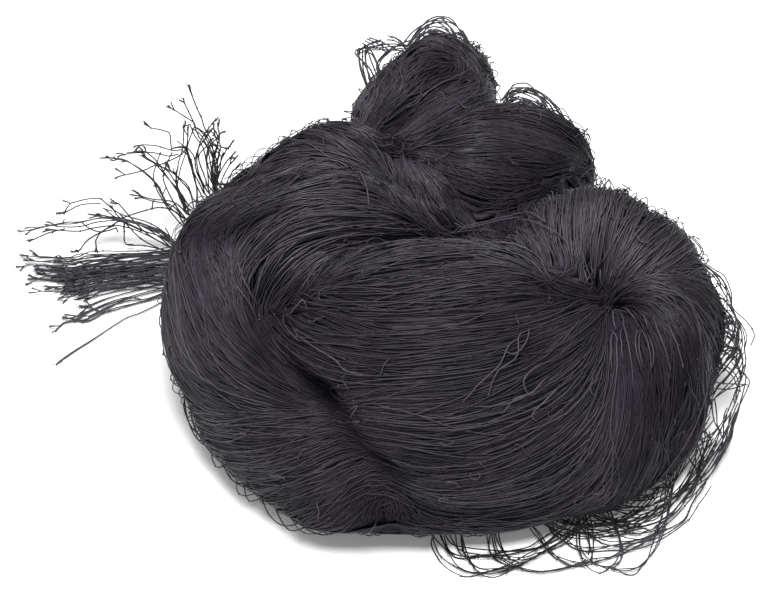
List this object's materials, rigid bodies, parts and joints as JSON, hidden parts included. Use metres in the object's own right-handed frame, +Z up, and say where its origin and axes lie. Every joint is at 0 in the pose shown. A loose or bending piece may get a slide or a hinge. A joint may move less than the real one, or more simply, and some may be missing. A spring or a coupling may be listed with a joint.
{
  "type": "bird net hank",
  "caption": "Knotted twine bird net, gathered lengthways and wound into a soft lumpy hank, with its cut end spread like a brush and slack loops of mesh at its sides.",
  "frame": {"origin": "on the table, under the middle of the hank", "axes": "+Z up from the table, +X to the right along the long way of the net, -Y towards the viewer"},
  "size_m": [0.3761, 0.3318, 0.1218],
  "materials": {
    "net_twine": "black twine, wound, faint sheen along the strands",
    "loose_twine": "black twine, single strands with knots"
  },
  "bodies": {
    "root": {"hank": "net_twine", "loose_end": "loose_twine", "loose_mesh": "loose_twine", "far_loops": "loose_twine", "right_loops": "loose_twine"}
  },
  "joints": []
}
